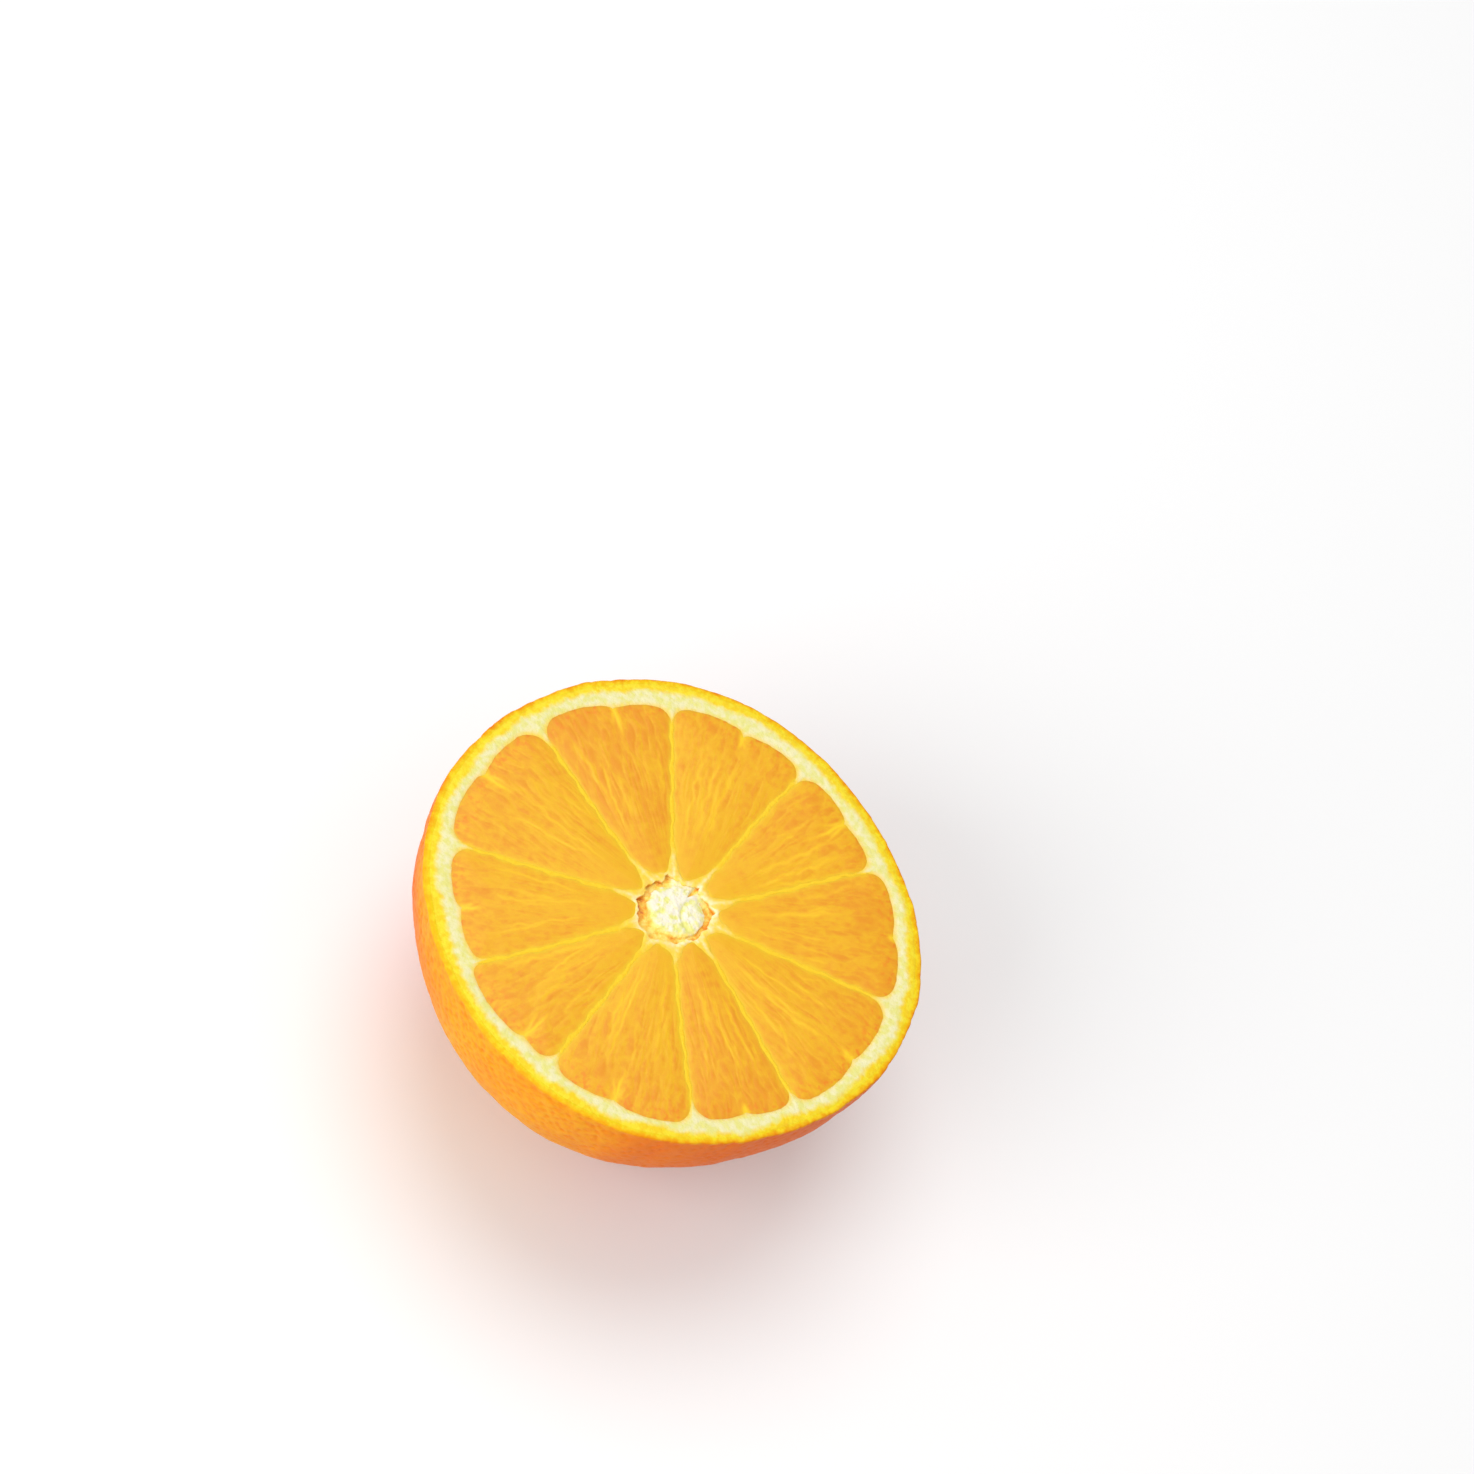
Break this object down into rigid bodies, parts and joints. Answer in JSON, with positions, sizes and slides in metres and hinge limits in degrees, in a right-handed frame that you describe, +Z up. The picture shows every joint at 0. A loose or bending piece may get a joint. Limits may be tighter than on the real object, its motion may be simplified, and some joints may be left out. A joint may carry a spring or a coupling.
{
  "type": "orange half",
  "caption": "Half an orange cut across its middle and laid cut face up, with segments, membranes, pith, rim of rind and a loose core.",
  "frame": {"origin": "middle of the small flat the rind rests on, under the middle of the part's box", "axes": "+Z up, out of the cut face; -Y is the side nearest the reader when the shown view is taken"},
  "size_m": [0.0804, 0.0804, 0.0398],
  "materials": {
    "rind": "waxy dimpled orange peel",
    "pith": "pale yellow spongy pith, matt",
    "pulp": "moist translucent pulp",
    "core": "white spongy core, matt"
  },
  "bodies": {
    "root": {"orange_half": "rind"}
  },
  "joints": []
}
